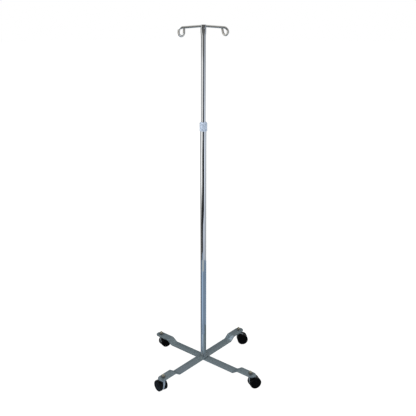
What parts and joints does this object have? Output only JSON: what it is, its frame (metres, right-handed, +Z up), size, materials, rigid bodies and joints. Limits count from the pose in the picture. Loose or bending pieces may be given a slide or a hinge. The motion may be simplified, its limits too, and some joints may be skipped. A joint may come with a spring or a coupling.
{
  "type": "infusion stand",
  "caption": "Rolling infusion stand: telescoping mast with a twist lock, a bent-rod hanger with an eye at each end, and a crossed bar base on twin-wheel swivel casters.",
  "frame": {"origin": "on the floor under the mast axis", "axes": "+Z up along the mast, +X along the hook crossbar, -Y is the front; the base bars lie on the diagonals"},
  "size_m": [0.4681, 0.44, 1.5191],
  "materials": {
    "chrome_tube": "polished chrome-plated steel tube",
    "chrome_rod": "chrome-plated bent rod",
    "collar_plate": "bright plated collar",
    "bar_enamel": "blue-grey hammered enamel on flat steel bar",
    "zinc_steel": "zinc-plated steel",
    "bronze_nut": "dark oiled steel",
    "yellow_zinc": "yellow zinc-plated stud",
    "nylon": "natural nylon",
    "caster_casting": "plated zinc casting",
    "wheel_black": "glossy black moulded nylon"
  },
  "bodies": {
    "base": {"lower_base_bar": "bar_enamel", "upper_base_bar": "bar_enamel", "base_bolt": "zinc_steel", "base_bolt_washer": "zinc_steel", "anti_turn_pin": "zinc_steel", "foot_plug": "zinc_steel", "lower_tube": "chrome_tube", "tube_ferrule": "zinc_steel", "guide_sleeve": "nylon", "lock_collet": "nylon", "caster_lock_washers": "zinc_steel", "caster_nuts": "bronze_nut", "caster_spacers": "zinc_steel", "caster_stem_front_left": "yellow_zinc", "caster_grip_ring_front_left": "zinc_steel", "caster_thrust_washer_front_left": "nylon", "caster_stem_front_right": "yellow_zinc", "caster_grip_ring_front_right": "zinc_steel", "caster_thrust_washer_front_right": "nylon", "caster_stem_rear_left": "yellow_zinc", "caster_grip_ring_rear_left": "zinc_steel", "caster_thrust_washer_rear_left": "nylon", "caster_stem_rear_right": "yellow_zinc", "caster_grip_ring_rear_right": "zinc_steel", "caster_thrust_washer_rear_right": "nylon"},
    "lock_collar": {"lock_collar": "collar_plate"},
    "mast_slider": {"glide_plug": "nylon"},
    "mast": {"upper_tube": "chrome_tube", "hook_rod": "chrome_rod"},
    "caster_front_left": {"caster_body_front_left": "caster_casting", "caster_axle_front_left": "zinc_steel"},
    "wheel_front_left_left": {"caster_wheel_front_left_left": "wheel_black", "caster_cap_front_left_left": "wheel_black"},
    "wheel_front_left_right": {"caster_wheel_front_left_right": "wheel_black", "caster_cap_front_left_right": "wheel_black"},
    "caster_front_right": {"caster_body_front_right": "caster_casting", "caster_axle_front_right": "zinc_steel"},
    "wheel_front_right_left": {"caster_wheel_front_right_left": "wheel_black", "caster_cap_front_right_left": "wheel_black"},
    "wheel_front_right_right": {"caster_wheel_front_right_right": "wheel_black", "caster_cap_front_right_right": "wheel_black"},
    "caster_rear_left": {"caster_body_rear_left": "caster_casting", "caster_axle_rear_left": "zinc_steel"},
    "wheel_rear_left_left": {"caster_wheel_rear_left_left": "wheel_black", "caster_cap_rear_left_left": "wheel_black"},
    "wheel_rear_left_right": {"caster_wheel_rear_left_right": "wheel_black", "caster_cap_rear_left_right": "wheel_black"},
    "caster_rear_right": {"caster_body_rear_right": "caster_casting", "caster_axle_rear_right": "zinc_steel"},
    "wheel_rear_right_left": {"caster_wheel_rear_right_left": "wheel_black", "caster_cap_rear_right_left": "wheel_black"},
    "wheel_rear_right_right": {"caster_wheel_rear_right_right": "wheel_black", "caster_cap_rear_right_right": "wheel_black"}
  },
  "joints": [
    {"name": "mast_height", "type": "slide", "parent": "base", "child": "mast_slider", "axis": [0, 0, 1], "range_m": [-0.315, 0.54]},
    {"name": "mast_turn", "type": "hinge", "parent": "mast_slider", "child": "mast", "pos_m": [0, 0, 0.483], "axis": [0, 0, 1], "continuous": true},
    {"name": "collar_twist", "type": "hinge", "parent": "base", "child": "lock_collar", "pos_m": [0, 0, 1.1195], "axis": [0, 0, 1], "range_deg": [0, 120]},
    {"name": "caster_swivel_front_left", "type": "hinge", "parent": "base", "child": "caster_front_left", "pos_m": [-0.18915, -0.18915, 0.047], "axis": [0, 0, 1], "continuous": true},
    {"name": "wheel_spin_front_left_left", "type": "hinge", "parent": "caster_front_left", "child": "wheel_front_left_left", "pos_m": [-0.2, -0.17307, 0.0254], "axis": [-0.829, -0.5592, 0], "continuous": true},
    {"name": "wheel_spin_front_left_right", "type": "hinge", "parent": "caster_front_left", "child": "wheel_front_left_right", "pos_m": [-0.2, -0.17307, 0.0254], "axis": [-0.829, -0.5592, 0], "continuous": true},
    {"name": "caster_swivel_front_right", "type": "hinge", "parent": "base", "child": "caster_front_right", "pos_m": [0.18915, -0.18915, 0.047], "axis": [0, 0, 1], "continuous": true},
    {"name": "wheel_spin_front_right_left", "type": "hinge", "parent": "caster_front_right", "child": "wheel_front_right_left", "pos_m": [0.20789, -0.18413, 0.0254], "axis": [-0.2588, 0.9659, 0], "continuous": true},
    {"name": "wheel_spin_front_right_right", "type": "hinge", "parent": "caster_front_right", "child": "wheel_front_right_right", "pos_m": [0.20789, -0.18413, 0.0254], "axis": [-0.2588, 0.9659, 0], "continuous": true},
    {"name": "caster_swivel_rear_left", "type": "hinge", "parent": "base", "child": "caster_rear_left", "pos_m": [-0.18915, 0.18915, 0.047], "axis": [0, 0, 1], "continuous": true},
    {"name": "wheel_spin_rear_left_left", "type": "hinge", "parent": "caster_rear_left", "child": "wheel_rear_left_left", "pos_m": [-0.17202, 0.19826, 0.0254], "axis": [-0.4695, 0.8829, 0], "continuous": true},
    {"name": "wheel_spin_rear_left_right", "type": "hinge", "parent": "caster_rear_left", "child": "wheel_rear_left_right", "pos_m": [-0.17202, 0.19826, 0.0254], "axis": [-0.4695, 0.8829, 0], "continuous": true},
    {"name": "caster_swivel_rear_right", "type": "hinge", "parent": "base", "child": "caster_rear_right", "pos_m": [0.18915, 0.18915, 0.047], "axis": [0, 0, 1], "continuous": true},
    {"name": "wheel_spin_rear_right_left", "type": "hinge", "parent": "caster_rear_right", "child": "wheel_rear_right_left", "pos_m": [0.20854, 0.18983, 0.0254], "axis": [-0.0349, 0.9994, 0], "continuous": true},
    {"name": "wheel_spin_rear_right_right", "type": "hinge", "parent": "caster_rear_right", "child": "wheel_rear_right_right", "pos_m": [0.20854, 0.18983, 0.0254], "axis": [-0.0349, 0.9994, 0], "continuous": true}
  ]
}
